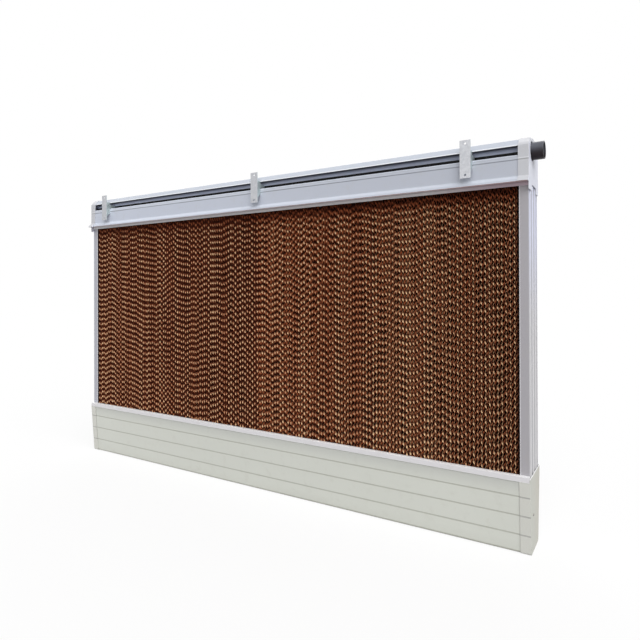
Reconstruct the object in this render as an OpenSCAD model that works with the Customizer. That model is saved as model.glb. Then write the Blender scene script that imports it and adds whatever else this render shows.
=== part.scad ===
// Evaporative cooling pad wall: four fluted paper pads held in a plastic frame, with a water trough
// below, a header with its water pipe above, and three steel hangers hooked into the header's slot.
// Millimetres. X runs along the wall, -Y is the air inlet face, Z is up. The origin lies on the floor,
// under the middle plane of the pads.

/* [Pads] */
// Width of one pad
pad_w = 600; // [400:10:700]
// Height of one pad
pad_h = 1200; // [900:10:1800]
// Thickness of one pad, in the direction of the air
pad_t = 150; // [100:10:200]
// Distance between two like flute columns, which is two paper sheets
flute_pitch = 14.6; // [10:0.2:24]
// Depth to which the flutes open between the sheet edges on the pad faces
flute_d = 16; // [6:0.5:20]

/* [Fits] */
// Clearance where one piece seats on or in another
seat = 0.3; // [0.1:0.1:0.5]
// Gap between neighbouring pads
pad_gap = 0.4; // [0.2:0.1:1]

/* [Side channels] */
// Wall of the side channels
channel_wall = 2.7; // [2:0.1:4]
// How far a side channel's flanges lap over the pad
flange_lap = 24; // [15:1:50]
// Height of the ribs and flange edges on a side channel's outer face
rib_h = 7; // [3:0.5:12]
// Width of a rib at its foot
rib_w = 14; // [8:1:24]
// Distance between the ribs
rib_pitch = 48; // [30:1:60]

/* [Trough] */
// Height of the trough
trough_h = 272; // [240:1:340]
// Wall of the trough
trough_wall = 3; // [2:0.5:4]
// How far the front wall leans out from bottom to top
front_lean = 20; // [5:1:30]
// Room between the side channels and the front wall's top edge
front_room = 12; // [8:1:20]
// How far the rear wall leans out from bottom to top
rear_lean = 34; // [15:1:40]
// Room between the side channels and the rear wall, at the ledges
rear_room = 1; // [0.5:0.5:10]
// Height of the ledges that the pads stand on
ledge_z = 170; // [150:1:190]
// How far the ledges reach under the pads
ledge_reach = 14; // [8:1:30]
// Chamfer along the bottom edges
base_chamfer = 7; // [3:0.5:12]
// Number of bands that the front wall's grooves divide it into
band_count = 4; // [2:1:6]
// Width of a groove in the front wall
groove_w = 5; // [3:0.5:8]
// Depth of a groove in the front wall
groove_d = 1.2; // [0.5:0.1:1.5]

/* [Retaining strips] */
// Wall of the strips that clip over the trough's front edge
strip_wall = 2; // [1.5:0.1:3]
// Height of a strip's front leg
strip_h = 20; // [14:1:30]
// How far a strip stands above the trough's edge
strip_rise = 6; // [3:0.5:10]
// How far a strip's inner leg hangs behind the trough's wall
strip_hook = 12; // [6:1:20]
// Where the two strips meet, from the middle of the wall
strip_joint_x = 189; // [-400:1:400]
// Gap where the two strips meet
strip_gap = 0.6; // [0.3:0.1:0.9]

/* [Header] */
// Wall of the header profile and its hood
header_wall = 2.5; // [2:0.1:3.5]
// Outer radius of the bends in the header profile and its hood
bend_r = 6; // [4:0.5:8]
// How far the header's front face stands in front of the side channels
header_front = 13; // [8:1:20]
// How far the header's back face stands behind the side channels
header_back = 6; // [4:0.5:12]
// How far the header reaches down over the pads
pad_cover = 77; // [60:1:120]
// Height of the flare's root above the lower edge of the header
flare_root = 31; // [28:1:45]
// How far the drip flare stands out from the front face
flare_reach = 22; // [10:1:30]
// How far the drip flare falls
flare_drop = 20; // [10:1:24]
// Height of the front rail above the pads
rail_h = 31; // [24:1:50]
// Width of the rail's folded top edge
rail_return = 12; // [8:1:18]
// Height of the slot between the rail and the hood
slot_h = 32; // [20:1:40]
// How far the hood's front edge slopes back
hood_slope_w = 19; // [10:1:30]
// How far the hood's front edge slopes up
hood_slope_h = 25; // [20:1:35]
// Rise of the hood's top towards its middle
hood_crown = 10; // [4:1:20]
// How far the hood's back leg laps over the header's back wall
hood_lap = 26; // [10:1:28]
// Distance between the drip holes in the header's web
drip_pitch = 75; // [50:5:150]
// Diameter of a drip hole
drip_d = 12; // [6:1:16]
// Distance of each row of drip holes from the web's edge
drip_inset = 14; // [10:1:18]

/* [End caps] */
// Wall of the end caps
cap_wall = 2.2; // [1.5:0.1:3]
// How far the end caps lap over the profiles
cap_lap = 34; // [15:1:40]
// How far the header caps' tabs reach below the header's lower edge
tab_drop = 15; // [5:1:20]
// Height of the cut-out between the two tabs
tab_cut = 20; // [10:1:26]
// Width of the front tab
tab_front_w = 62; // [30:1:70]
// Width of the rear tab
tab_rear_w = 44; // [30:1:70]

/* [Water pipe] */
// Outside diameter of the water pipe
pipe_d = 63; // [50:1:63]
// Wall of the water pipe
pipe_wall = 3; // [2:0.1:5]
// Height of the pipe's axis above the front rail
pipe_rise = 19.5; // [18:0.5:26]
// Distance of the pipe's axis behind the header's front face
pipe_set = 63; // [60:1:90]
// How far the pipe stands out of the right end cap
stub_len = 41; // [20:1:120]
// Diameter of the pipe's hole in the right end cap
pipe_hole_d = 70; // [66:0.5:74]
// Distance between the two ribs that carry the pipe
cradle_w = 30; // [20:1:40]
// Diameter of the spray holes on top of the pipe
spray_d = 4; // [2:0.5:6]
// Distance between the spray holes
spray_pitch = 150; // [75:5:250]

/* [Hangers] */
// Width of a hanger's plate
hanger_w = 40; // [30:1:60]
// Height of a hanger's plate
hanger_h = 139; // [120:1:160]
// Sheet thickness of the hangers
hanger_t = 2.5; // [1.5:0.1:4]
// How far a hanger's plate reaches below the rail's top edge
hanger_below = 67; // [40:1:75]
// Room between the header's front face and the back of the plates
hanger_room = 21; // [12:1:30]
// How far the folded web reaches above the rail's top edge
hanger_web_up = 34; // [24:1:50]
// How far the folded web reaches below the rail's top edge
hanger_web_down = 46; // [30:1:60]
// Height of the arm that passes through the slot
hanger_arm_h = 20; // [10:1:20]
// How far the arm's hook hangs behind the rail's folded edge
hanger_hook = 9; // [4:0.5:10]
// Width of the hook
hanger_hook_w = 8; // [5:0.5:10]
// How far the arm reaches behind the header's front face
hanger_arm_len = 30; // [27:0.5:31]
// Diameter of the fixing holes
hole_d = 8.5; // [5:0.5:12]
// Distance of the fixing holes from the plate's ends
hole_inset = 12; // [9:0.5:25]
// Distance of the left hanger's middle from the left end of the header
hanger_left_in = 146; // [70:1:500]
// Distance of the right hanger's middle from the right end of the header
hanger_right_in = 213; // [70:1:500]
// Middle of the middle hanger's plate, from the middle of the wall
hanger_middle_x = 20; // [-300:1:300]

/* [Hidden] */

// Overlap of a cut past the face that it opens
cut = 1;
// Number of short edges in one bend
bend_steps = 4;
$fn = 48;

pad_count = 4;
pads_w = pad_count * pad_w + (pad_count - 1) * pad_gap;
pad_front = pad_t / 2;
pad_z = ledge_z + seat;
pad_top = pad_z + pad_h;

// Side channels, measured on the right hand one
web_in = pads_w / 2 + seat;
web_out = web_in + channel_wall;
channel_out = web_out + rib_h;
channel_front = pad_front + seat + channel_wall;

// The trough and header profiles end flush with the side channels' ribs, and the caps close them
profile_half = channel_out;
cap_in = profile_half + seat;
cap_out = cap_in + cap_wall;

// Trough section: y of its walls at their upper and lower ends
trough_front_top = -(channel_front + front_room + trough_wall);
trough_front_base = trough_front_top + front_lean;
trough_rear_ledge = channel_front + rear_room + trough_wall;
function trough_front_y(z) = trough_front_base - front_lean * z / trough_h;
function trough_rear_y(z) = trough_rear_ledge + rear_lean * (z - ledge_z) / trough_h;
trough_outline = [
    [trough_rear_y(0) - base_chamfer, 0],
    [trough_rear_y(base_chamfer), base_chamfer],
    [trough_rear_y(trough_h), trough_h],
    [trough_front_top, trough_h],
    [trough_front_y(base_chamfer), base_chamfer],
    [trough_front_base + base_chamfer, 0]
];
trough_top_edge = 2;
trough_base_edge = 5;
strip_base_z = trough_h + strip_rise - strip_h;

// Header section: heights and depths of its corners
lip_z = pad_top - pad_cover;
web_z = pad_top + seat;
flare_z = lip_z + flare_root;
rail_z = pad_top + rail_h;
slot_z = rail_z + slot_h;
hood_z = slot_z + hood_slope_h;
crown_z = hood_z + hood_crown;
header_y = channel_front + header_front;
back_y = channel_front + header_back;
hood_back_y = back_y + seat + header_wall;
lip_y = channel_front + seat;
hood_line = rounded([
    [hood_back_y, rail_z - hood_lap],
    [hood_back_y, slot_z],
    [hood_back_y - hood_slope_w, hood_z],
    [0, crown_z],
    [hood_slope_w - header_y, hood_z],
    [-header_y, slot_z]
], bend_r);
flare_tip = [-header_y - flare_reach, flare_z - flare_drop];
front_line = rounded([
    [rail_return - header_y, rail_z], [-header_y, rail_z], [-header_y, flare_z], flare_tip
], bend_r);
flare_line = rounded([[-header_y, slot_z], [-header_y, flare_z], flare_tip], bend_r);
header_envelope = concat(
    [[hood_back_y, lip_z + tab_cut - tab_drop]],
    [for (i = [1:len(hood_line) - 1]) hood_line[i]],
    [for (i = [1:len(flare_line) - 1]) flare_line[i]]
);
rail_groove_z = (web_z + rail_z) / 2 - groove_w / 2;

// Water pipe
pipe_y = pipe_set - header_y;
pipe_z = rail_z + pipe_rise;
pipe_r = pipe_d / 2;

// Hangers: the plate's back face, and the vertical web at its right edge
plate_back = header_y + hanger_room;
plate_z = rail_z - hanger_below;
hook_y = -header_y + rail_return + seat;
hanger_left_x = hanger_left_in - profile_half;
hanger_right_x = profile_half - hanger_right_in;

// Colours
pvc_grey = [0.77, 0.78, 0.76];
header_grey = [0.74, 0.77, 0.82];
cap_grey = [0.76, 0.76, 0.77];
paper_brown = [0.43, 0.27, 0.19];
pipe_grey = [0.33, 0.34, 0.36];
zinc = [0.72, 0.73, 0.75];

// A line with its corners rounded, each by a few short edges
function turned(v, a) = [v[0] * cos(a) - v[1] * sin(a), v[0] * sin(a) + v[1] * cos(a)];
function bend(from, corner, to, r) =
    let (d1 = (corner - from) / norm(corner - from), d2 = (to - corner) / norm(to - corner))
    let (turn = atan2(d1[0] * d2[1] - d1[1] * d2[0], d1 * d2))
    let (start = corner - r * tan(abs(turn) / 2) * d1)
    let (centre = start + sign(turn) * r * [-d1[1], d1[0]])
    [for (k = [0:bend_steps]) centre + turned(start - centre, turn * k / bend_steps)];
function rounded(points, r) = [
    points[0],
    for (i = [1:len(points) - 2]) each bend(points[i - 1], points[i], points[i + 1], r),
    points[len(points) - 1]
];

// Every edge of a closed outline, moved out by its own distance, and joined up again
function out_normal(a, b) = [b[1] - a[1], a[0] - b[0]] / norm(b - a);
function crossing(n1, g1, n2, g2) =
    [g1 * n2[1] - g2 * n1[1], g2 * n1[0] - g1 * n2[0]] / (n1[0] * n2[1] - n1[1] * n2[0]);
function moved_out(points, gaps) = [
    for (i = [0:len(points) - 1])
        let (last = (i + len(points) - 1) % len(points), next = (i + 1) % len(points))
        points[i] + crossing(
            out_normal(points[last], points[i]), gaps[last],
            out_normal(points[i], points[next]), gaps[i])
];

// One list of distances: the same for all edges of an outline but the open ones
function all_but(points, gap, open_edges, open_gap) =
    [for (i = [0:len(points) - 1]) len([for (e = open_edges) if (e == i) e]) > 0 ? open_gap : gap];

// The line of a bent sheet's other face, on the inner side of its given face
function inner_face(points, t) = [
    for (i = [0:len(points) - 1])
        let (from = max(i - 1, 0), to = min(i + 1, len(points) - 1))
        let (n1 = out_normal(points[from], points[from + 1]), n2 = out_normal(points[to - 1], points[to]))
        i == 0 ? points[i] - t * n1
        : i == len(points) - 1 ? points[i] - t * n2
        : points[i] + crossing(n1, -t, n2, -t)
];

// A profile along the wall: an outline in Y and Z, from one X to another
module along(from_x, to_x) {
    translate([from_x, 0, 0]) rotate([90, 0, 90]) linear_extrude(to_x - from_x) children();
}

// A bent sheet along the wall, given by its outer face
module sheet(points, t, from_x, to_x) {
    inner = inner_face(points, t);
    along(from_x, to_x)
        polygon(concat(points, [for (i = [len(inner) - 1:-1:0]) inner[i]]));
}

// A box given by two opposite corners
module box(low, high) {
    translate(low) cube(high - low);
}

// A V groove along the wall, in a front face that leans by the given run per height
module front_groove(y, z, lean, from_x, to_x) {
    run = lean * groove_w / 2;
    along(from_x, to_x) polygon([
        [y - cut, z - groove_w / 2], [y + run, z - groove_w / 2],
        [y + groove_d, z],
        [y - run, z + groove_w / 2], [y - cut, z + groove_w / 2]
    ]);
}

// The grooves that divide the trough's front into bands, for a face that stands out by the given gap
module trough_grooves(gap, from_x, to_x) {
    for (i = [1:band_count - 1])
        front_groove(trough_front_y(i * trough_h / band_count) - gap, i * trough_h / band_count,
            front_lean / trough_h, from_x, to_x);
}

module trough() {
    color(pvc_grey) difference() {
        union() {
            difference() {
                along(-profile_half, profile_half) polygon(trough_outline);
                along(-profile_half - cut, profile_half + cut)
                    polygon(moved_out(trough_outline,
                        all_but(trough_outline, -trough_wall, [trough_top_edge], cut)));
            }
            // Ledges that carry the pads, on both walls
            along(-profile_half, profile_half) polygon([
                [trough_front_y(ledge_z - trough_wall) + cut, ledge_z - trough_wall],
                [ledge_reach - pad_front, ledge_z - trough_wall],
                [ledge_reach - pad_front, ledge_z],
                [trough_front_y(ledge_z) + cut, ledge_z]
            ]);
            along(-profile_half, profile_half) polygon([
                [pad_front - ledge_reach, ledge_z - trough_wall],
                [trough_rear_y(ledge_z - trough_wall) - cut, ledge_z - trough_wall],
                [trough_rear_y(ledge_z) - cut, ledge_z],
                [pad_front - ledge_reach, ledge_z]
            ]);
        }
        trough_grooves(0, -profile_half - cut, profile_half + cut);
    }
}

module trough_end_cap() {
    open_edges = [trough_top_edge, trough_base_edge];
    outer = moved_out(trough_outline, all_but(trough_outline, seat + cap_wall, open_edges, 0));
    inner = moved_out(trough_outline, all_but(trough_outline, seat, open_edges, cut));
    color(cap_grey) difference() {
        along(profile_half - cap_lap, cap_out) polygon(outer);
        along(profile_half - cap_lap - cut, cap_in) polygon(inner);
        // Room for the retaining strip, which runs on over the cap
        box([profile_half - cap_lap - cut, trough_front_top * 2, strip_base_z - seat],
            [cap_in, -channel_front, trough_h + cut]);
        trough_grooves(seat + cap_wall, profile_half - cap_lap - cut, cap_out + cut);
    }
}

// A clip that hooks over the trough's front edge and closes the gap to the side channels and pads
module retaining_strip(from_x, to_x) {
    top_z = trough_h + strip_rise;
    out_y = trough_front_top - seat - strip_wall;
    in_y = trough_front_y(trough_h - strip_hook) + trough_wall + seat;
    color(pvc_grey) union() {
        box([from_x, out_y, strip_base_z], [to_x, out_y + strip_wall, top_z]);
        box([from_x, out_y, top_z - strip_wall], [to_x, -channel_front - seat, top_z]);
        box([from_x, in_y, trough_h - strip_hook], [to_x, in_y + strip_wall, top_z]);
    }
}

module side_channel() {
    color(header_grey) translate([0, 0, pad_z]) linear_extrude(pad_h) union() {
        translate([web_in, -channel_front]) square([channel_wall, 2 * channel_front]);
        for (side = [-1, 1])
            translate([web_in - flange_lap, side < 0 ? -channel_front : channel_front - channel_wall])
                square([flange_lap + channel_wall + rib_h, channel_wall]);
        for (i = [-1:1])
            translate([web_out, i * rib_pitch]) polygon([
                [-channel_wall / 2, -rib_w / 2], [0, -rib_w / 2], [rib_h, -rib_w / 4],
                [rib_h, rib_w / 4], [0, rib_w / 2], [-channel_wall / 2, rib_w / 2]
            ]);
    }
}

// A pad of paper sheets on edge: each sheet's edge is a ridge on the two faces, with open flutes between
module pad(place) {
    sheets = 2 * floor(pad_w / flute_pitch);
    pitch = pad_w / sheets;
    color(paper_brown)
        translate([(place - (pad_count + 1) / 2) * (pad_w + pad_gap) - pad_w / 2, 0, pad_z])
            linear_extrude(pad_h) polygon(concat(
                [for (i = [0:sheets - 1]) each [
                    [i * pitch, -pad_front + flute_d], [(i + 0.5) * pitch, -pad_front]]],
                [[pad_w, -pad_front + flute_d], [pad_w, pad_front - flute_d]],
                [for (i = [sheets - 1:-1:0]) each [
                    [(i + 0.5) * pitch, pad_front], [i * pitch, pad_front - flute_d]]]
            ));
}

// A row of upright holes along the wall, clear of the end caps
module hole_row(pitch, d, y, from_z, to_z) {
    half_count = floor((profile_half - cap_lap - d) / pitch);
    for (i = [-half_count:half_count])
        translate([i * pitch, y, from_z]) cylinder(d = d, h = to_z - from_z);
}

module header_frame() {
    rib_top = pipe_z - sqrt(pow(pipe_r + seat, 2) - pow(cradle_w / 2 + header_wall, 2));
    color(header_grey) difference() {
        union() {
            sheet(front_line, header_wall, -profile_half, profile_half);
            // Inner lip in front of the pads
            box([-profile_half, -lip_y - header_wall, lip_z],
                [profile_half, -lip_y, web_z + header_wall]);
            // Back wall
            box([-profile_half, back_y - header_wall, lip_z], [profile_half, back_y, rail_z]);
            // Web between the walls, on top of the pads
            box([-profile_half, -header_y + header_wall / 2, web_z],
                [profile_half, back_y - header_wall / 2, web_z + header_wall]);
            // Two ribs that carry the water pipe
            for (side = [-1, 1])
                along(-profile_half, profile_half) translate([pipe_y, 0]) polygon([
                    [side * cradle_w / 2, web_z], [side * (cradle_w / 2 + header_wall), web_z],
                    [side * (cradle_w / 2 + header_wall), rib_top], [side * cradle_w / 2, rib_top]
                ]);
        }
        // Drip holes that let the water down onto the pads
        for (y = [drip_inset - lip_y, back_y - header_wall - drip_inset])
            hole_row(drip_pitch, drip_d, y, web_z - cut, web_z + header_wall + cut);
        front_groove(-header_y, rail_groove_z, 0, -profile_half - cut, profile_half + cut);
    }
}

module pipe_hood() {
    color(header_grey) sheet(hood_line, header_wall, -profile_half, profile_half);
}

module header_end_cap(hole) {
    open_edges = [len(header_envelope) - 1];
    outer = moved_out(header_envelope, all_but(header_envelope, seat + cap_wall, open_edges, 0));
    inner = moved_out(header_envelope, all_but(header_envelope, seat, open_edges, cut));
    front = -header_y - seat - cap_wall;
    rear = hood_back_y + seat + cap_wall;
    color(cap_grey) difference() {
        union() {
            difference() {
                along(profile_half - cap_lap, cap_out) polygon(outer);
                along(profile_half - cap_lap - cut, cap_in) polygon(inner);
            }
            // Tabs that lap over the side channel's outer face
            box([cap_in, front, lip_z - tab_drop], [cap_out, front + tab_front_w, flare_z]);
            box([cap_in, rear - tab_rear_w, lip_z - tab_drop], [cap_out, rear, flare_z]);
        }
        front_groove(front, rail_groove_z, 0, profile_half - cap_lap - cut, cap_out + cut);
        if (hole)
            translate([cap_in - cut, pipe_y, pipe_z]) rotate([0, 90, 0])
                cylinder(d = pipe_hole_d, h = cap_wall + 2 * cut);
    }
}

module water_pipe() {
    length = profile_half + cap_out + stub_len;
    color(pipe_grey) difference() {
        translate([-profile_half, pipe_y, pipe_z]) rotate([0, 90, 0]) difference() {
            cylinder(d = pipe_d, h = length);
            translate([0, 0, -cut]) cylinder(d = pipe_d - 2 * pipe_wall, h = length + 2 * cut);
        }
        // Spray holes on top
        hole_row(spray_pitch, spray_d, pipe_y, pipe_z, pipe_z + pipe_r + cut);
    }
}

// A plate with two fixing holes, a web folded back at its right edge, and an arm that hooks over the rail
module hanger(x) {
    color(zinc) translate([x, 0, 0]) {
        difference() {
            box([-hanger_w / 2, -plate_back - hanger_t, plate_z],
                [hanger_w / 2, -plate_back, plate_z + hanger_h]);
            for (z = [plate_z + hole_inset, plate_z + hanger_h - hole_inset])
                translate([0, -plate_back - hanger_t - cut, z]) rotate([-90, 0, 0])
                    cylinder(d = hole_d, h = hanger_t + 2 * cut);
        }
        along(hanger_w / 2 - hanger_t, hanger_w / 2) polygon([
            [-plate_back - hanger_t / 2, rail_z - hanger_web_down],
            [-plate_back, rail_z - hanger_web_down],
            [-header_y - seat, rail_z - hanger_web_down + hanger_room],
            [-header_y - seat, rail_z + seat],
            [hook_y, rail_z + seat],
            [hook_y, rail_z - hanger_hook],
            [hook_y + hanger_hook_w, rail_z - hanger_hook],
            [hook_y + hanger_hook_w, rail_z + seat],
            [hanger_arm_len - header_y, rail_z + seat],
            [hanger_arm_len - header_y, rail_z + seat + hanger_arm_h],
            [-header_y - seat, rail_z + seat + hanger_arm_h],
            [-header_y - seat, rail_z + hanger_web_up],
            [-plate_back - hanger_t / 2, rail_z + hanger_web_up]
        ]);
    }
}

trough();
mirror([1, 0, 0]) trough_end_cap();  // trough_end_cap_left
trough_end_cap();  // trough_end_cap_right
retaining_strip(-profile_half, strip_joint_x - strip_gap / 2);  // retaining_strip_left
retaining_strip(strip_joint_x + strip_gap / 2, profile_half);  // retaining_strip_right
mirror([1, 0, 0]) side_channel();  // side_channel_left
side_channel();  // side_channel_right
pad(1);  // pad_1
pad(2);  // pad_2
pad(3);  // pad_3
pad(4);  // pad_4
header_frame();
pipe_hood();
mirror([1, 0, 0]) header_end_cap(false);  // header_end_cap_left
header_end_cap(true);  // header_end_cap_right
water_pipe();
hanger(hanger_left_x);  // hanger_left
hanger(hanger_middle_x);  // hanger_middle
hanger(hanger_right_x);  // hanger_right
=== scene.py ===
"""Looks of the evaporative cooling pad wall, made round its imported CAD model.

Metres, Z up, with the air inlet on the -Y side.
"""
import math
import random

import bmesh
import bpy
from mathutils import Matrix, Vector


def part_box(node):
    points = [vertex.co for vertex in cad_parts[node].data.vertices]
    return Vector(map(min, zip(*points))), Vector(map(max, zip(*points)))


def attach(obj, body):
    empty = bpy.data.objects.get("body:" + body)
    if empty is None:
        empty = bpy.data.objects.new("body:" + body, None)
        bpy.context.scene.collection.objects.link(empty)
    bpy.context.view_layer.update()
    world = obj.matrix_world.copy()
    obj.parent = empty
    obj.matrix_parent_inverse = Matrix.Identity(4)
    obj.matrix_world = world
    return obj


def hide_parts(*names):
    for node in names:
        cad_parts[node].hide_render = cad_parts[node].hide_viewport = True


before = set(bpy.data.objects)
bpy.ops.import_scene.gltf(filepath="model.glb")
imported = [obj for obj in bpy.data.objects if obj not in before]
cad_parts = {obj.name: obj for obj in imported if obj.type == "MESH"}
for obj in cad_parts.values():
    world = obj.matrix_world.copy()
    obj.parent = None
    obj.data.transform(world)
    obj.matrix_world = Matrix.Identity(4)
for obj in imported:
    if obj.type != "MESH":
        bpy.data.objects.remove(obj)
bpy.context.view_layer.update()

# Photograph's camera: place, turn to the left of +Y, roll, upward tilt, focal length and the row of its axis
CAMERA_PLACE = (1.5531, -2.0238, 0.9228)
CAMERA_TURN = math.radians(31.65)
CAMERA_ROLL = math.radians(0.17)
CAMERA_LIFT = math.radians(0.2)
FRAME_SIDE = 640
FOCAL_PIXELS = 527.2
OPTICAL_AXIS_ROW = 289.9
SENSOR = 36

# Light: share of the even room light, and the directions, powers and spread of the two lamps
ROOM_LIGHT = 0.33
KEY_FROM = (0.50, -0.52, 0.69)
KEY_POWER = 2.8
BACK_FROM = (-0.5, 0.7, 0.5)
BACK_POWER = 0.7
LAMP_SPREAD = math.radians(70)

# Floor: its half side, its grey for light that falls on the object and as it is seen, and its own glow
FLOOR_REACH = 20
FLOOR_BOUNCE = 0.5
FLOOR_SEEN = 0.95
FLOOR_GLOW = 0.8

# Fluted sheets of a pad: their number, the flutes' period and its points, the paper, and the flat end sheets
SHEETS = 82
FLUTE_PERIOD = 0.0285
WAVE_STEPS = 6
PAPER_T = 0.00042
END_SHEET_T = 0.0005
RIM_LIMIT = PAPER_T * 1.5
CUT_CLOSE = 1e-7

# How the stretch of like sheets wanders, the flutes to spare at a sheet's ends, and the random spread of the
# sheets' painted light
STRETCH_HOLD = 0.6
STRETCH_STEP = 0.0135
SPARE_FLUTES = 2
TONE_SPREAD = 0.2

# Each pad in turn: how long and how fast like sheets drift, and the strengths of painted light on upper faces
# and painted shade on lower faces
PAD_SEED = 10
PAD_LOOKS = (
    (0.6, 0.23, 1.5, 0.15),
    (0.55, 0.25, 1.5, 0.12),
    (0.35, 0.28, 1.6, 0.5),
    (0.3, 0.28, 1.75, 0.55),
)

# Rounding of plastic and steel edges, and the angles of flat joins, of rounded edges and of sharp shading
PROFILE_ROUND = 0.0006
CAP_ROUND = 0.0008
STEEL_ROUND = 0.0005
MERGE_CLOSE = 1e-5
FLAT_ANGLE = math.radians(0.5)
EDGE_ANGLE = math.radians(28)
SHARP_ANGLE = math.radians(50)

# Faces with a second finish: how far they turn to an end or down, and where the header's flare is
END_TURN = 0.9
DOWN_TURN = -0.4
FLARE_Y = -0.088
FLARE_TOP_Z = 1.33

# Widths of painted lines
FINE_LINE = 0.003
LINE = 0.004
GROOVE_LINE = 0.005
EDGE_LINE = 0.006

# Header: where its front faces end, and heights over its lowest edge for the lip's groove and top, and the
# flare's painted shade and painted highlight
HEADER_FRONT_Y = (-0.086, -0.084)
LIP_GROOVE_RISE = 0.012
LIP_TOP = (0.026, 0.036)
FLARE_FOOT_SHADE = (0.014, 0.020)
FLARE_HIGHLIGHT_RISE = 0.027
FLARE_HIGHLIGHT_W = 0.014

# Header's rail and the slot over it, from the rail's top edge
RAIL_GROOVE_DROP = 0.0179
RAIL_LINE_DROP = 0.0072
RAIL_EDGE = 0.002
SLOT_FADE = 0.010
HOOD_HIGHLIGHT_RISE = 0.033

# Stretches along the header over which its tone, its painted rail highlight and its painted reflection of the
# pads change
RAIL_HIGHLIGHT_FADE_X = (-0.6, 0.6)
LIP_REFLECTION_X = (0.8, 1.15)
FLARE_REFLECTION_X = (-0.9, 1.1)

# Trough: where its front ends, its grooves with their painted shade, the shade below its top, the darker band
# at its foot and the splashes
TROUGH_FRONT_Y = (-0.06, -0.05)
TROUGH_GROOVES = 3
STRIP_SHADE = (0.075, 0.010)
TROUGH_FOOT = (0.006, 0.012)
SPLASH_H = 0.05

# Side channels: distances in from their outer faces, and where their tones and their painted shade change
FLANGE_SKIN = (0.003, 0.0015)
FLANGE_END = (0.003, 0)
CHANNEL_SIDE = (0.009, 0.006)
RIB_HEIGHT = (0.0065, 0.0015)
CHANNEL_FADE_Z = (0.75, 1.2)
FLANGE_SHADE_X = (-0.5, 0.5)

# End caps: where their fronts end and their rears darken, and heights over the trough and the rail's groove
# for the painted light on their upper parts and their painted glint
CAP_FRONT_Y = (-0.07, -0.06)
CAP_REAR_Y = (-0.09, 0.08)
CAP_REAR_FADE = 0.02
CAP_HOOD_RISE = (0.055, 0.065)
CAP_GLINT_RISE = 0.005

# Paper: depths at which painted shade in the flutes starts and deepens, and its shade below the header and
# near the ends
FLUTE_SHADE_DEPTH = (0.002, 0.010)
DEEP_FLUTE_SHADE_DEPTH = (0.004, 0.015)
REAR_TURN_Y = (-0.01, 0.01)
HEADER_SHADE = (0.14, 0.085)
HEADER_SHADE_X = (-0.8, 0.6)
DIM_END_X = 0.75
CHANNEL_SHADE = (0.016, 0.002)

# Pipe: heights over its axis for its painted shade and painted band of light, and the start of the stub
# inside the cap's outer face
UNDERSIDE_SHADE_LINE = (-0.0032, -0.002)
SLOT_LIGHT_BAND = (0.005, 0.018)
STUB_SHADE_FADE = (-0.018, 0.016)
STUB_START = (0.02, 0)

# Stretch of the die lines of lying and of upright profiles
ALONG_X = (0.6, 230, 230)
UPRIGHT = (230, 230, 0.6)

# Screw in each trough end plate, with shares of its size for the head's taper and rounding and for the socket
SCREW_Y = -0.035
SCREW_Z = 0.130
SCREW_R = 0.0042
SCREW_H = 0.0024
SCREW_SIDES = 32
HEAD_TAPER = 0.8
HEAD_ROUND = 0.35
SOCKET_RIM = 0.15
SOCKET_WALL = 0.1
SOCKET_DEPTH = 0.5


def photo_colour(red, green, blue):
    """A colour as it shows in a picture, 0 to 255, in the shaders' linear values."""
    parts = [part / 255 for part in (red, green, blue)]
    return [p / 12.92 if p <= 0.04045 else ((p + 0.055) / 1.055) ** 2.4 for p in parts] + [1]


def toned(colour, amount):
    """A colour made lighter or darker by a factor."""
    return [part * amount for part in colour[:3]] + [1]


def grey(amount):
    """A grey in linear values."""
    return [amount, amount, amount, 1]


DUST = photo_colour(176, 172, 160)
PAPER_SHADE = photo_colour(24, 8, 5)


class Wire:
    """One output of a shader node. Sums and products of wires and numbers add their Math nodes."""

    def __init__(self, recipe, socket):
        self.recipe = recipe
        self.socket = socket

    def maths(self, operation, first, second):
        return self.recipe.node("ShaderNodeMath", {"operation": operation}, {0: first, 1: second})

    def __add__(self, other):
        return self.maths("ADD", self, other)

    def __radd__(self, other):
        return self.maths("ADD", other, self)

    def __sub__(self, other):
        return self.maths("SUBTRACT", self, other)

    def __rsub__(self, other):
        return self.maths("SUBTRACT", other, self)

    def __mul__(self, other):
        return self.maths("MULTIPLY", self, other)

    def __rmul__(self, other):
        return self.maths("MULTIPLY", other, self)

    def __abs__(self):
        return self.maths("ABSOLUTE", self, 0)


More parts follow.
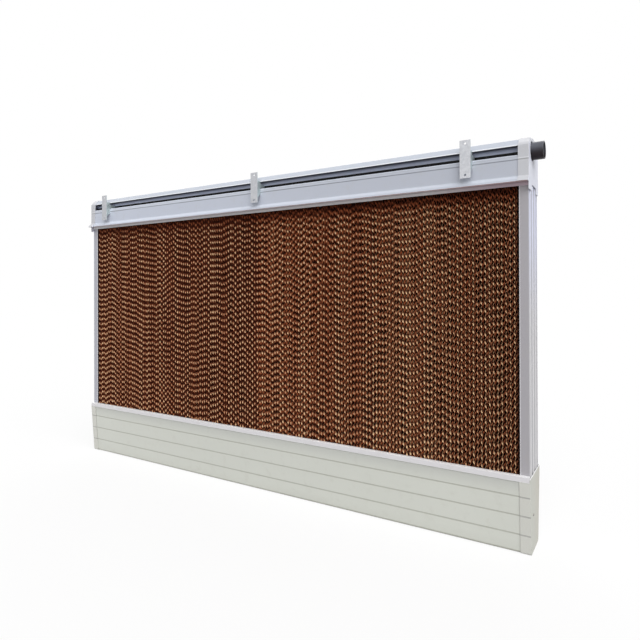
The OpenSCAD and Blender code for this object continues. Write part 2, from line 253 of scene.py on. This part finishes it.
class Recipe:
    """The nodes of a finish or of the room's light, written as expressions on wires."""

    def __init__(self, tree):
        self.tree = tree
        tree.nodes.clear()

    def node(self, kind, settings=None, sockets=None, output=0):
        """Adds a node: first its settings, then its sockets' values or wires. The end node gives no wire."""
        made = self.tree.nodes.new(kind)
        for key, value in (settings or {}).items():
            setattr(made, key, value)
        for key, value in (sockets or {}).items():
            if isinstance(value, Wire):
                self.tree.links.new(value.socket, made.inputs[key])
            else:
                made.inputs[key].default_value = value
        return Wire(self, made.outputs[output]) if made.outputs else None

    def place(self):
        """The wire of a point's place on the object."""
        return self.node("ShaderNodeTexCoord", output="Object")

    def along(self, axis):
        """A point's place along X, Y or Z."""
        return self.node("ShaderNodeSeparateXYZ", sockets={0: self.place()}, output=axis)

    def noise(self, scale, stretch=(1, 1, 1), detail=2.0, roughness=0.5):
        """Cloudy noise, 0 to 1. A small stretch along an axis draws it out along that axis."""
        place = self.node("ShaderNodeMapping", sockets={"Vector": self.place(), "Scale": stretch})
        sockets = {"Vector": place, "Scale": scale, "Detail": detail, "Roughness": roughness}
        return self.node("ShaderNodeTexNoise", sockets=sockets)

    def rise(self, value, low, high):
        """0 below one value, 1 above another, smooth between."""
        settings = {"interpolation_type": "SMOOTHSTEP"}
        return self.node("ShaderNodeMapRange", settings, {0: value, 1: low, 2: high})

    def near(self, value, edge, far, close):
        """0 farther below an edge than one distance, 1 closer to it than another, smooth between."""
        return self.rise(value, edge - far, edge - close)

    def line(self, value, centre, width):
        """1 along a line at one value, 0 beyond its width."""
        return 1 - self.rise(abs(value - centre), width * 0.25, width * 0.75)

    def mix(self, share, first, second):
        """Two colours, mixed by the share of the second. Mix has its colours at sockets 6 and 7."""
        settings = {"data_type": "RGBA", "clamp_factor": True}
        return self.node("ShaderNodeMix", settings, {0: share, 6: first, 7: second}, output=2)

    def relief(self, height, distance):
        """The normal of a surface with this relief."""
        sockets = {"Strength": 1.0, "Distance": distance, "Height": height}
        return self.node("ShaderNodeBump", sockets=sockets)


class Finish(Recipe):
    """A procedural material: a body colour with other colours painted over it."""

    def __init__(self, name, colour):
        self.material = bpy.data.materials.new(name)
        self.material.use_nodes = True
        super().__init__(self.material.node_tree)
        self.body = colour

    def paint(self, share, colour):
        """Lays a colour over the body."""
        self.body = self.mix(share, self.body, colour)

    def surface(self, sockets):
        """Ends the material in one Principled shader in the body's colour."""
        return self.ended(self.node("ShaderNodeBsdfPrincipled", sockets={"Base Color": self.body, **sockets}))

    def ended(self, shader):
        """Ends the material in any shader."""
        self.node("ShaderNodeOutputMaterial", sockets={"Surface": shader})
        return self.material


class ExtrudedPvc(Finish):
    """Satin PVC: the die's faint lines along the profile, an uneven tone and a little grey dust."""

    def __init__(self, name, colour, die_lines):
        super().__init__(name, toned(colour, 0.95))
        self.lines = self.noise(1, stretch=die_lines, detail=3)
        self.dust = self.rise(self.noise(23, detail=6, roughness=0.7), 0.5, 0.8)
        self.paint(self.noise(1.7, detail=3), toned(colour, 1.04))
        self.paint(self.lines * 0.2, toned(colour, 0.9))

    def done(self):
        """The finished material, with its dust."""
        self.paint(self.dust * 0.2, DUST)
        return self.surface({
            "Roughness": self.lines * 0.1 + self.dust * 0.14 + 0.28,
            "Normal": self.relief(self.lines, 0.00006),
        })


def header_pvc():
    """Header and hood: painted shade in the grooves and at the flare's foot, a dark line on the rail, painted
    highlights at the hood, rail and flare, painted light and reflection on the lip.
    """
    low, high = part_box("header_frame")
    pvc = ExtrudedPvc("header_pvc", photo_colour(193, 199, 210), ALONG_X)
    x, y, z = pvc.along("X"), pvc.along("Y"), pvc.along("Z")
    groove_z = high.z - RAIL_GROOVE_DROP
    front = 1 - pvc.rise(y, *HEADER_FRONT_Y)
    below_slot = 1 - pvc.rise(z, high.z, high.z + SLOT_FADE)
    tone = pvc.mix(pvc.rise(x, low.x, high.x), photo_colour(203, 208, 224), photo_colour(179, 181, 192))
    pvc.paint(below_slot * 0.5, tone)
    # Painted highlight on the rail above its groove, strongest at the left and fading towards the right.
    rail_highlight = pvc.rise(z, groove_z, groove_z + RAIL_EDGE) * below_slot
    pvc.paint(rail_highlight * (0.3 - 0.18 * pvc.rise(x, *RAIL_HIGHLIGHT_FADE_X)), photo_colour(236, 241, 250))
    # Painted shade: a dark line in the rail's groove. Below the rail's top edge, a fainter dark line.
    pvc.paint(pvc.line(z, groove_z, LINE) * front * 0.8, photo_colour(128, 132, 142))
    pvc.paint(pvc.line(z, high.z - RAIL_LINE_DROP, FINE_LINE) * front * 0.35, photo_colour(150, 154, 164))
    # Painted highlight along the hood's lower edge.
    pvc.paint(pvc.line(z, high.z + HOOD_HIGHLIGHT_RISE, LINE), photo_colour(240, 243, 248))

    height = z - low.z
    # Painted highlight on the flare's upper bend.
    pvc.paint(pvc.line(height, FLARE_HIGHLIGHT_RISE, FLARE_HIGHLIGHT_W) * front * 0.25, photo_colour(234, 241, 250))
    # Painted shade on the lower part of the flare's face.
    pvc.paint((1 - pvc.rise(height, *FLARE_FOOT_SHADE)) * front * 0.3, photo_colour(176, 182, 192))
    # Painted light on the lip, which sits in the flare's shade: near white at the left, with a painted brown
    # reflection of the pads towards the right.
    lip = (1 - pvc.rise(height, *LIP_TOP)) * (1 - front)
    streaks = pvc.noise(1, stretch=(55, 8, 8), detail=4)
    lip_light_and_reflection = pvc.mix(pvc.rise(x, *LIP_REFLECTION_X), photo_colour(254, 254, 255), photo_colour(222, 200, 212))
    pvc.paint(lip * (streaks * 0.2 + 0.75), lip_light_and_reflection)
    # Painted shade: a dark line in the lip's groove.
    pvc.paint(lip * pvc.line(height, LIP_GROOVE_RISE, LINE) * 0.35, photo_colour(120, 96, 94))
    return pvc.done()


def header_underside():
    """Underside of the header's flare: the same PVC, with a painted brown reflection of the pads towards the
    right.
    """
    pvc = ExtrudedPvc("header_underside", photo_colour(204, 190, 192), ALONG_X)
    streaks = pvc.noise(1, stretch=(40, 6, 6), detail=4)
    # Painted reflection of the brown pads, stronger towards the right.
    pvc.paint(pvc.rise(pvc.along("X"), *FLARE_REFLECTION_X) * (streaks * 0.4 + 0.5), photo_colour(172, 120, 114))
    return pvc.done()


def groove_heights(top):
    """Heights of the grooves that part the trough's front into equal boards."""
    return [number * top / (TROUGH_GROOVES + 1) for number in range(1, TROUGH_GROOVES + 1)]


def trough_pvc():
    """Trough: painted shade in its grooves, darker at its foot, shade below the strips, splashes low down."""
    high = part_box("trough")[1]
    pvc = ExtrudedPvc("trough_pvc", photo_colour(216, 218, 210), ALONG_X)
    z = pvc.along("Z")
    front = 1 - pvc.rise(pvc.along("Y"), *TROUGH_FRONT_Y)
    for groove_z in groove_heights(high.z):
        # Painted shade in the front's grooves.
        pvc.paint(pvc.line(z, groove_z, GROOVE_LINE) * front * 0.55, photo_colour(142, 141, 128))
    pvc.paint(pvc.near(z, high.z, *STRIP_SHADE) * 0.4, photo_colour(176, 177, 176))
    # Darker towards the foot.
    pvc.paint((1 - pvc.rise(z, *TROUGH_FOOT)) * 0.7, photo_colour(160, 160, 142))
    splash = pvc.noise(1, stretch=(9, 3, 14), detail=5, roughness=0.65)
    pvc.paint((1 - pvc.rise(z, 0, SPLASH_H)) * splash * 0.25, DUST)
    return pvc.done()


def strip_pvc():
    """Retaining strips: painted highlights where the two edges of the front leg are rounded."""
    low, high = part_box("retaining_strip_right")
    pvc = ExtrudedPvc("strip_pvc", photo_colour(224, 222, 225), ALONG_X)
    z = pvc.along("Z")
    # Painted highlights along the front leg's rounded top and bottom edges.
    edges = pvc.line(z, high.z, LINE) + pvc.line(z, low.z, FINE_LINE)
    pvc.paint(edges * 0.8, photo_colour(246, 246, 247))
    return pvc.done()


def channel_pvc():
    """Side channels: painted shade between the outer ribs, grey flanges with painted shade changing from left
    to right, painted highlights along the flanges' inner edges.
    """
    low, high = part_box("side_channel_right")
    pvc = ExtrudedPvc("channel_pvc", photo_colour(198, 200, 208), UPRIGHT)
    x = pvc.along("X")
    outward = abs(x)
    flange = pvc.near(abs(pvc.along("Y")), high.y, *FLANGE_SKIN)
    flange = flange * (1 - pvc.near(outward, high.x, *FLANGE_END))
    side = pvc.near(outward, high.x, *CHANNEL_SIDE) * (1 - flange)
    fade = pvc.rise(pvc.along("Z"), *CHANNEL_FADE_Z)
    pvc.paint(side * 0.9, pvc.mix(fade, photo_colour(206, 205, 206), photo_colour(210, 213, 232)))
    # Painted shade between the outer ribs, on the valleys and the ribs' lower slopes.
    shade_between_ribs = 1 - pvc.near(outward, high.x, *RIB_HEIGHT)
    pvc.paint(side * shade_between_ribs * 0.8, photo_colour(150, 149, 154))
    # Flanges: grey, with painted shade that changes from left to right.
    tone = pvc.mix(pvc.rise(x, *FLANGE_SHADE_X), photo_colour(172, 173, 183), photo_colour(163, 159, 163))
    pvc.paint(flange * 0.85, tone)
    # Painted highlight along the flanges' inner edges.
    pvc.paint(pvc.line(outward, low.x, EDGE_LINE) * 0.7, photo_colour(226, 226, 230))
    return pvc.done()


def cap_pvc(name, colour, grooved):
    """Moulded end caps: matt, fine-grained, with painted light on their upper parts, a painted highlight at
    the trough's top, and painted shade in their fronts' grooves.
    """
    trough_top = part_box("trough_end_cap_right")[1].z
    rail_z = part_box("header_frame")[1].z - RAIL_GROOVE_DROP
    cap = Finish(name, toned(colour, 0.95))
    grain = cap.noise(900, detail=2)
    dust = cap.rise(cap.noise(40, detail=6, roughness=0.7), 0.52, 0.8)
    y, z = cap.along("Y"), cap.along("Z")
    cap.paint(cap.noise(5, detail=3), toned(colour, 1.04))
    rear = cap.rise(y, *CAP_REAR_Y) * (1 - cap.rise(z, trough_top, trough_top + CAP_REAR_FADE))
    cap.paint(rear * 0.5, photo_colour(190, 184, 172))
    # Painted highlight along the trough's top edge.
    cap.paint(cap.line(z, trough_top, EDGE_LINE), photo_colour(244, 244, 244))
    # Painted light on the upper parts.
    cap.paint(cap.rise(z - rail_z, *CAP_HOOD_RISE) * 0.55, photo_colour(230, 231, 235))
    if grooved:
        front = 1 - cap.rise(y, *CAP_FRONT_Y)
        # Painted shade in the front's grooves, with a painted glint just above the rail's groove.
        groove_shade = cap.line(z, rail_z, LINE)
        for groove_z in groove_heights(trough_top):
            groove_shade = groove_shade + cap.line(z, groove_z, GROOVE_LINE)
        cap.paint(groove_shade * front * 0.6, photo_colour(140, 140, 138))
        cap.paint(cap.line(z, rail_z + CAP_GLINT_RISE, LINE) * front * 0.5, photo_colour(236, 237, 242))
    cap.paint(dust * 0.22, DUST)
    return cap.surface({
        "Roughness": grain * 0.12 + dust * 0.1 + 0.42,
        "Normal": cap.relief(grain, 0.00005),
    })


def kraft_paper(name, dark, middle, light):
    """Resin-soaked kraft paper: fibres, mottled resin, painted light and shade for each face, painted shade
    under the header, near the ends and deeper in the flutes.
    """
    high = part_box("pad_1")[1]
    channel_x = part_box("side_channel_right")[0].x
    paper = Finish(name, dark)
    x, y, z = paper.along("X"), paper.along("Y"), paper.along("Z")
    sheet_painted_light = paper.node("ShaderNodeAttribute", {"attribute_name": "sheet_painted_light"}, output=2)
    fibres = paper.noise(700, stretch=(1, 0.3, 1), detail=3, roughness=0.6)
    resin = paper.noise(42, detail=4, roughness=0.6)
    shade = paper.near(z, high.z, *HEADER_SHADE) * (0.4 + 0.35 * paper.rise(x, *HEADER_SHADE_X))
    # Painted light: up-facing sheet faces lighter, turned over for the rear half, less under the header's
    # painted shade.
    lit = sheet_painted_light * (1 - 2 * paper.rise(y, *REAR_TURN_Y)) * (1 - shade) + resin * 0.3 - 0.15
    paper.paint(paper.rise(lit, 0, 0.35), middle)
    paper.paint(paper.rise(lit + fibres * 0.2, 0.45, 1.15), light)
    paper.paint(paper.rise(x, DIM_END_X, channel_x) * 0.14, PAPER_SHADE)
    paper.paint(paper.near(abs(x), channel_x, *CHANNEL_SHADE) * 0.85, PAPER_SHADE)
    # Painted shade deeper in the flutes, where light does not reach: reddish brown, then near black.
    depth = high.y - abs(y)
    paper.paint(paper.rise(depth, *FLUTE_SHADE_DEPTH) * 0.8, photo_colour(98, 46, 28))
    paper.paint(paper.rise(depth, *DEEP_FLUTE_SHADE_DEPTH), photo_colour(12, 4, 2))
    return paper.surface({
        "Roughness": fibres * 0.2 + 0.5,
        "Specular IOR Level": 0.15,
        "Normal": paper.relief(fibres, 0.0001),
    })


def pipe_pvc():
    """Grey pipe: painted shade on its underside, a painted band of light at the slot, darker outside the cap
    with painted shade on the stub's lower side.
    """
    low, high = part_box("water_pipe")
    cap_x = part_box("header_end_cap_right")[1].x
    pipe = Finish("pipe_pvc", photo_colour(8, 7, 10))
    lines = pipe.noise(1, stretch=(0.8, 420, 420), detail=3)
    scuffs = pipe.rise(pipe.noise(60, stretch=(0.15, 1, 1), detail=5, roughness=0.7), 0.55, 0.75)
    height = pipe.along("Z") - (low.z + high.z) / 2
    # Painted shade below a line under the axis, and a painted band of light above it where the slot lets
    # light in.
    above = pipe.rise(height, *UNDERSIDE_SHADE_LINE)
    pipe.paint(above, photo_colour(100, 98, 106))
    pipe.paint(above * (1 - pipe.rise(height, *SLOT_LIGHT_BAND)), photo_colour(224, 231, 252))
    # The stub outside the cap is darker, with painted shade on its lower side.
    stub_colour_and_shade = pipe.mix(pipe.rise(height, *STUB_SHADE_FADE), photo_colour(38, 31, 35), photo_colour(90, 92, 100))
    pipe.paint(pipe.near(pipe.along("X"), cap_x, *STUB_START), stub_colour_and_shade)
    pipe.paint(scuffs * above * 0.2, photo_colour(140, 140, 144))
    return pipe.surface({
        "Roughness": lines * 0.08 + scuffs * 0.2 + 0.24,
        "Specular IOR Level": 0.2,
        "Normal": pipe.relief(lines, 0.00004),
    })


def galvanised(name, light, dark):
    """Hot-dip zinc: flat spangles of slightly different tone, with a dull bloom over them."""
    zinc = Finish(name, dark)
    sockets = {"Vector": zinc.place(), "Scale": 130.0}
    spangle = zinc.node("ShaderNodeTexVoronoi", sockets=sockets, output="Color")
    flake = zinc.node("ShaderNodeSeparateColor", sockets={0: spangle})
    bloom = zinc.noise(30, detail=5, roughness=0.65)
    zinc.paint(flake * 0.6 + bloom * 0.4, light)
    return zinc.surface({
        "Metallic": 0.75,
        "Roughness": flake * 0.12 + bloom * 0.14 + 0.4,
        "Normal": zinc.relief(flake * 0.4 + bloom, 0.00005),
    })


def linked(name, shape, materials):
    """A new object at the origin for a shape whose place is in its points."""
    mesh = bpy.data.meshes.new(name)
    shape.to_mesh(mesh)
    shape.free()
    for material in materials:
        mesh.materials.append(material)
    made = bpy.data.objects.new(name, mesh)
    bpy.context.scene.collection.objects.link(made)
    return made


def even_normals(piece):
    """Smooth shading that leaves the large flat faces flat."""
    piece.data.shade_smooth()
    piece.data.set_sharp_from_angle(angle=SHARP_ANGLE)
    steady = piece.modifiers.new("steady_normals", "WEIGHTED_NORMAL")
    steady.keep_sharp = True


def faces_end(face):
    """Whether a face looks towards an end of the wall."""
    return abs(face.normal.x) > END_TURN


def faces_down(face):
    """Whether a face is the underside of the header's flare."""
    middle = face.calc_center_median()
    return face.normal.z < DOWN_TURN and middle.y < FLARE_Y and middle.z < FLARE_TOP_Z


def dressed(node, materials, edge_round, second=None):
    """Stands for a CAD node: its own shape with flat faces joined and edges rounded.

    The faces that second picks get the second material.
    """
    shape = bmesh.new()
    shape.from_mesh(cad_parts[node].data)
    bmesh.ops.remove_doubles(shape, verts=shape.verts, dist=MERGE_CLOSE)
    bmesh.ops.dissolve_limit(shape, angle_limit=FLAT_ANGLE, verts=shape.verts, edges=shape.edges)
    edges = [edge for edge in shape.edges if edge.is_manifold and edge.calc_face_angle() > EDGE_ANGLE]
    bmesh.ops.bevel(shape, geom=edges, offset=edge_round, offset_type="OFFSET", segments=2, profile=0.5,
                    affect="EDGES", material=-1, clamp_overlap=True)
    if second:
        for face in shape.faces:
            face.material_index = 1 if second(face) else 0
    piece = linked(node + "_finish", shape, materials)
    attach(piece, "root")
    even_normals(piece)
    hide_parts(node)


def sheet_waves(chance, hold, step):
    """Start of each sheet's wave, in periods, and its stretch. Like sheets drift in runs."""
    start = [chance.random(), chance.random()]
    drift = [0, 0]
    stretch = [0, 0]
    waves = []
    for number in range(SHEETS):
        kind = number % 2
        drift[kind] = hold * drift[kind] + chance.gauss(0, step)
        start[kind] += drift[kind]
        stretch[kind] = STRETCH_HOLD * stretch[kind] + chance.gauss(0, STRETCH_STEP)
        waves.append((start[kind] % 1, 1 + stretch[kind]))
    return waves


# glow sets the strength of the painted light on up-facing faces, underside that of the painted shade on
# down-facing ones.
def fluted_pad(node, seed, hold, step, glow, underside, materials):
    """A pad of corrugated sheets on edge. The flutes of every second sheet rise into the pad, others fall."""
    low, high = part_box(node)
    depth = high.y - low.y
    height = high.z - low.z
    middle_z = (low.z + high.z) / 2
    pitch = (high.x - low.x - 2 * END_SHEET_T) / SHEETS
    reach = (pitch - PAPER_T) / 2
    stride = FLUTE_PERIOD / WAVE_STEPS
    strips = math.ceil((height + depth + (2 * SPARE_FLUTES + 1) * FLUTE_PERIOD) / stride)
    chance = random.Random(seed)
    shape = bmesh.new()
    sheet_light_layer = shape.faces.layers.float.new("sheet_painted_light")
    for number, (shift, stretch) in enumerate(sheet_waves(chance, hold, step)):
        slope = 1 if number % 2 == 0 else -1
        middle_x = low.x + END_SHEET_T + (number + 0.5) * pitch
        foot = low.z - (depth if slope > 0 else 0) - (shift + SPARE_FLUTES) * FLUTE_PERIOD
        sheet = bmesh.ops.create_grid(shape, x_segments=strips, y_segments=1, size=0.5)
        for point in sheet["verts"]:
            count = round((point.co.x + 0.5) * strips)
            inward = depth * (point.co.y + 0.5)
            point.co = (
                middle_x + reach * math.sin(math.tau * (count + 0.5) / WAVE_STEPS),
                low.y + inward,
                middle_z + (foot + count * stride - middle_z) * stretch + slope * inward,
            )
        # Painted light for each sheet: its strength, with random spread, and its sign set by whether its
        # flutes rise or fall.
        tone = slope * glow * chance.uniform(1 - TONE_SPREAD, 1 + TONE_SPREAD)
        for face in {face for point in sheet["verts"] for face in point.link_faces}:
            face[sheet_light_layer] = tone
    for side_x in (low.x + END_SHEET_T / 2, high.x - END_SHEET_T / 2):
        turn = Matrix.Rotation(math.radians(90), 4, "Y")
        size = Matrix.Diagonal((1, depth, height, 1))
        place = Matrix.Translation((side_x, (low.y + high.y) / 2, middle_z)) @ size @ turn
        bmesh.ops.create_grid(shape, x_segments=1, y_segments=1, size=0.5, matrix=place)
    for plane_z, outward in ((high.z, 1), (low.z, -1)):
        geom = shape.verts[:] + shape.edges[:] + shape.faces[:]
        bmesh.ops.bisect_plane(shape, geom=geom, dist=CUT_CLOSE, plane_co=(0, 0, plane_z),
                               plane_no=(0, 0, outward), clear_outer=True)
    bmesh.ops.solidify(shape, geom=shape.faces[:], thickness=PAPER_T)
    shape.normal_update()
    for face in shape.faces:
        # Painted light and shade by each face's tilt: up-facing faces lighter, down-facing faces darker.
        face[sheet_light_layer] *= face.normal.z * (1 if face.normal.z > 0 else underside)
        rim = min(edge.calc_length() for edge in face.edges) < RIM_LIMIT
        face.smooth = not rim
        face.material_index = 1 if rim else 0
        if rim:
            for edge in face.edges:
                edge.smooth = False
    piece = linked(node + "_sheets", shape, materials)
    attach(piece, "root")
    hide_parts(node)


def top_face(shape):
    """The highest face of a shape."""
    return max(shape.faces, key=lambda face: face.calc_center_median().z)


def cap_screw(name, side, material):
    """A pan-head screw with a socket, in a trough end plate."""
    plate_x = max(abs(corner.x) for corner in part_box("trough_end_cap_right"))
    shape = bmesh.new()
    bmesh.ops.create_cone(shape, cap_ends=True, segments=SCREW_SIDES, radius1=SCREW_R,
                          radius2=SCREW_R * HEAD_TAPER, depth=SCREW_H)
    bmesh.ops.bevel(shape, geom=list(top_face(shape).edges), offset=SCREW_H * HEAD_ROUND, segments=3,
                    profile=0.5, affect="EDGES", material=-1)
    for wall, sink in ((SOCKET_RIM, 0), (SOCKET_WALL, SOCKET_DEPTH)):
        bmesh.ops.inset_individual(shape, faces=[top_face(shape)], thickness=SCREW_R * wall,
                                   depth=-SCREW_H * sink)
    place = Matrix.Translation((side * (plate_x + SCREW_H / 2), SCREW_Y, SCREW_Z))
    place = place @ Matrix.Rotation(math.radians(90 * side), 4, "Y")
    bmesh.ops.transform(shape, matrix=place, verts=shape.verts)
    piece = linked(name, shape, [material])
    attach(piece, "root")
    even_normals(piece)


def seen_directly(recipe):
    """1 for what the camera, a reflection or glass shows, 0 for light that falls on the object."""
    rays = ("Is Camera Ray", "Is Glossy Ray", "Is Transmission Ray")
    camera, glossy, through = [recipe.node("ShaderNodeLightPath", output=ray) for ray in rays]
    return recipe.rise(camera + glossy + through, 0, 1)


def floor_white():
    """White floor that keeps the object's shadow."""
    white = Finish("floor_white", grey(FLOOR_BOUNCE))
    seen = seen_directly(white)
    white.paint(seen, grey(FLOOR_SEEN))
    plain = white.node("ShaderNodeBsdfDiffuse", sockets={"Color": white.body})
    glow = white.node("ShaderNodeEmission", sockets={"Color": grey(1), "Strength": 1.0})
    return white.ended(white.node("ShaderNodeMixShader", sockets={0: seen * FLOOR_GLOW, 1: plain, 2: glow}))


def light_room(world):
    """Even light from all round, on a white background."""
    room = Recipe(world.node_tree)
    strength = seen_directly(room) * (1 - ROOM_LIGHT) + ROOM_LIGHT
    glow = room.node("ShaderNodeBackground", sockets={"Color": grey(1), "Strength": strength})
    room.node("ShaderNodeOutputWorld", sockets={"Surface": glow})


def lamp(name, comes_from, power):
    """A far soft light that is even over the whole wall."""
    light = bpy.data.lights.new(name, "SUN")
    light.energy = power
    light.angle = LAMP_SPREAD
    made = bpy.data.objects.new(name, light)
    made.rotation_euler = Vector(comes_from).to_track_quat("Z", "Y").to_euler()
    bpy.context.scene.collection.objects.link(made)


def studio():
    """Camera of the photograph, a white floor that keeps the shadow, and soft light from the upper right."""
    scene = bpy.context.scene
    scene.view_settings.view_transform = "Standard"
    lens = bpy.data.cameras.new("camera")
    lens.sensor_width = SENSOR
    lens.lens = FOCAL_PIXELS / FRAME_SIDE * SENSOR
    lens.shift_y = (OPTICAL_AXIS_ROW - FRAME_SIDE / 2) / FRAME_SIDE
    camera = bpy.data.objects.new("camera", lens)
    camera.location = CAMERA_PLACE
    camera.rotation_euler = (math.radians(90) + CAMERA_LIFT, CAMERA_ROLL, CAMERA_TURN)
    scene.collection.objects.link(camera)
    scene.camera = camera

    shape = bmesh.new()
    bmesh.ops.create_grid(shape, x_segments=1, y_segments=1, size=FLOOR_REACH)
    floor = linked("floor", shape, [floor_white()])

    world = bpy.data.worlds.new("studio")
    scene.world = world
    world.use_nodes = True
    light_room(world)
    lamp("key_light", KEY_FROM, KEY_POWER)
    lamp("back_light", BACK_FROM, BACK_POWER)


def frame_pieces():
    """The trough, strips, channels, header, caps and pipe."""
    strip = strip_pvc()
    channel = channel_pvc()
    header = header_pvc()
    # The caps' end faces take a second copy of the cap material as painted light: lighter on the header caps,
    # darker on the trough caps.
    header_cap = [cap_pvc("header_cap", photo_colour(198, 199, 204), True),
                  cap_pvc("header_cap_end_painted_light", photo_colour(224, 226, 238), False)]
    trough_cap = [cap_pvc("trough_cap", photo_colour(213, 213, 206), True),
                  cap_pvc("trough_cap_end_painted_shade", photo_colour(195, 196, 187), False)]
    dressed("trough", [trough_pvc()], PROFILE_ROUND)
    for side in ("left", "right"):
        dressed("trough_end_cap_" + side, trough_cap, CAP_ROUND, faces_end)
        dressed("retaining_strip_" + side, [strip], PROFILE_ROUND)
        dressed("side_channel_" + side, [channel], PROFILE_ROUND)
        dressed("header_end_cap_" + side, header_cap, CAP_ROUND, faces_end)
    dressed("header_frame", [header, header_underside()], PROFILE_ROUND, faces_down)
    dressed("pipe_hood", [header], PROFILE_ROUND)
    dressed("water_pipe", [pipe_pvc()], PROFILE_ROUND)


def hangers():
    """The three hangers, with a painted bluish reflection on the faces that look along the wall."""
    zinc = galvanised("zinc_steel", photo_colour(205, 206, 210), photo_colour(180, 182, 187))
    zinc_painted_reflection = galvanised("zinc_steel_painted_reflection", photo_colour(206, 216, 216), photo_colour(184, 198, 200))
    for place in ("left", "middle", "right"):
        # Faces looking along the wall get a bluer copy of the zinc: a painted reflection.
        dressed("hanger_" + place, [zinc, zinc_painted_reflection], STEEL_ROUND, faces_end)


def pads():
    """The four pads, with duller paper on the sheets' edges."""
    paper = kraft_paper("kraft_paper", photo_colour(60, 20, 9), photo_colour(164, 90, 56),
                        photo_colour(239, 203, 158))
    paper_edge = kraft_paper("kraft_paper_edge", photo_colour(104, 46, 29), photo_colour(150, 82, 52),
                             photo_colour(186, 126, 88))
    for number, (hold, step, glow, underside) in enumerate(PAD_LOOKS, 1):
        fluted_pad(f"pad_{number}", PAD_SEED + number, hold, step, glow, underside, [paper, paper_edge])


def screws():
    """The screw of each trough end cap."""
    dull_zinc = galvanised("zinc_steel_dull", photo_colour(150, 148, 144), photo_colour(122, 120, 118))
    cap_screw("trough_cap_screw_right", 1, dull_zinc)
    cap_screw("trough_cap_screw_left", -1, dull_zinc)


def main():
    """Sets the studio up and makes all pieces."""
    studio()
    frame_pieces()
    hangers()
    pads()
    screws()


main()
